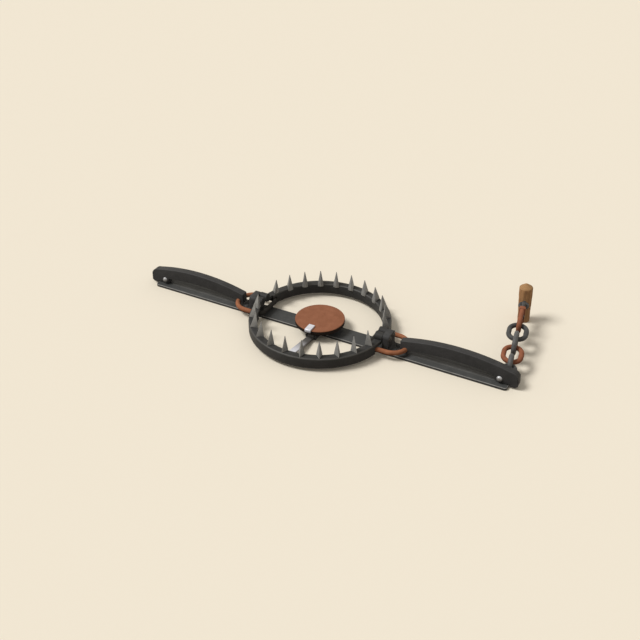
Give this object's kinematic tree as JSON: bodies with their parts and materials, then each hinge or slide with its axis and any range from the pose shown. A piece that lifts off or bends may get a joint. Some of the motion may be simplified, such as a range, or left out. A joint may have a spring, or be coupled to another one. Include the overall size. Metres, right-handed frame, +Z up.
{
  "type": "leghold trap",
  "caption": "Set long-spring leghold trap: base bar, toothed half-ring jaws on posts, arched springs with ring eyes, pan and dog trigger, swivel chain and wooden stake.",
  "frame": {"origin": "middle of the base bar's underside, on the ground", "axes": "+X along the base bar towards the chained heel, +Y to the back, away from the dog, +Z up"},
  "size_m": [0.861, 0.4008, 0.0845],
  "materials": {
    "base_iron": "worn dark iron, edges rubbed bright",
    "fitting_iron": "dark forged iron with brown rust in the corners",
    "pin_steel": "bare polished steel",
    "pivot_steel": "dull greasy steel",
    "jaw_iron": "blackened iron with rubbed edges and brown stains",
    "tooth_steel": "grey filed steel",
    "spring_iron": "blackened spring steel, worn along the edges",
    "eye_rust": "orange-brown rust",
    "pan_rust": "even brown rust, darker in pits",
    "trigger_steel": "bare bright steel",
    "chain_grey": "grey worn iron",
    "chain_rust": "orange-brown rust",
    "chain_dark": "dark iron with brown stains",
    "stake_wood": "bare weathered wood, paler on the sawn top"
  },
  "bodies": {
    "base": {"base_plate": "base_iron", "left_jaw_post": "fitting_iron", "right_jaw_post": "fitting_iron", "post_rivets": "fitting_iron", "left_jaw_pins": "pivot_steel", "right_jaw_pins": "pivot_steel", "left_heel_lug": "fitting_iron", "right_heel_lug": "fitting_iron", "left_heel_pin": "pin_steel", "right_heel_pin": "pin_steel", "trigger_bracket": "fitting_iron", "bracket_rivets": "fitting_iron", "pan_hinge_pin": "pivot_steel", "dog_hinge_pin": "pivot_steel"},
    "front_jaw": {"front_jaw": "jaw_iron", "front_jaw_teeth": "tooth_steel"},
    "rear_jaw": {"rear_jaw": "jaw_iron", "rear_jaw_teeth": "tooth_steel"},
    "left_spring": {"left_spring_arm": "spring_iron", "left_spring_eye": "eye_rust"},
    "right_spring": {"right_spring_arm": "spring_iron", "right_spring_eye": "eye_rust", "heel_eye": "chain_dark"},
    "pan": {"pan_disc": "pan_rust", "pan_strap": "trigger_steel", "pan_rivets": "pan_rust"},
    "dog": {"dog": "trigger_steel"},
    "heel_ring": {"heel_ring": "chain_grey"},
    "chain_link_1": {"chain_link_1": "chain_rust"},
    "chain_link_2": {"chain_link_2": "chain_grey"},
    "chain_link_3": {"chain_link_3": "chain_dark"},
    "swivel_clevis": {"swivel_clevis": "chain_rust"},
    "swivel_eye": {"swivel_eye": "chain_dark"},
    "stake": {"stake": "stake_wood", "stake_eye": "chain_dark"}
  },
  "joints": [
    {"name": "front_jaw_pivot", "type": "hinge", "parent": "base", "child": "front_jaw", "pos_m": [0, -0.0095, 0.034], "axis": [-1, 0, 0], "range_deg": [0, 80]},
    {"name": "rear_jaw_pivot", "type": "hinge", "parent": "base", "child": "rear_jaw", "pos_m": [0, 0.0095, 0.034], "axis": [1, 0, 0], "range_deg": [0, 80]},
    {"name": "left_spring_hinge", "type": "hinge", "parent": "base", "child": "left_spring", "pos_m": [-0.394, 0, 0.0155], "axis": [0, -1, 0], "range_deg": [0, 5.6]},
    {"name": "right_spring_hinge", "type": "hinge", "parent": "base", "child": "right_spring", "pos_m": [0.394, 0, 0.0155], "axis": [0, 1, 0], "range_deg": [0, 5.6]},
    {"name": "pan_hinge", "type": "hinge", "parent": "base", "child": "pan", "pos_m": [0, 0.006, 0.017], "axis": [1, 0, 0], "range_deg": [0, 5]},
    {"name": "dog_hinge", "type": "hinge", "parent": "base", "child": "dog", "pos_m": [0, -0.038, 0.006], "axis": [-1, 0, 0], "range_deg": [0, 13]},
    {"name": "heel_ring_swing", "type": "hinge", "parent": "right_spring", "child": "heel_ring", "pos_m": [0.403, 0.02315, 0.03], "axis": [0.986, 0.1668, 0], "range_deg": [-25, 15]},
    {"name": "link_1_swing", "type": "hinge", "parent": "heel_ring", "child": "chain_link_1", "pos_m": [0.3996, 0.04324, 0.03221], "axis": [0.018, -0.1065, 0.9942], "range_deg": [-25, 25]},
    {"name": "link_2_swing", "type": "hinge", "parent": "chain_link_1", "child": "chain_link_2", "pos_m": [0.39382, 0.07745, 0.03598], "axis": [0.986, 0.1668, 0], "range_deg": [-25, 25]},
    {"name": "link_3_swing", "type": "hinge", "parent": "chain_link_2", "child": "chain_link_3", "pos_m": [0.38803, 0.11166, 0.03975], "axis": [0.018, -0.1065, 0.9942], "range_deg": [-25, 25]},
    {"name": "clevis_swing", "type": "hinge", "parent": "chain_link_3", "child": "swivel_clevis", "pos_m": [0.38224, 0.14587, 0.04352], "axis": [0.986, 0.1668, 0], "range_deg": [-25, 25]},
    {"name": "swivel_turn", "type": "hinge", "parent": "swivel_clevis", "child": "swivel_eye", "pos_m": [0.37699, 0.17695, 0.04695], "axis": [-0.1658, 0.9802, 0.108], "continuous": true},
    {"name": "stake_swing", "type": "hinge", "parent": "swivel_eye", "child": "stake", "pos_m": [0.37118, 0.21126, 0.05073], "axis": [0.018, -0.1065, 0.9942], "range_deg": [-25, 25]}
  ],
  "couplings": [
    {"joint": "rear_jaw_pivot", "follows": "front_jaw_pivot", "ratio": 1},
    {"joint": "left_spring_hinge", "follows": "front_jaw_pivot", "ratio": 0.07},
    {"joint": "right_spring_hinge", "follows": "front_jaw_pivot", "ratio": 0.07},
    {"joint": "dog_hinge", "follows": "pan_hinge", "ratio": 2.6}
  ]
}
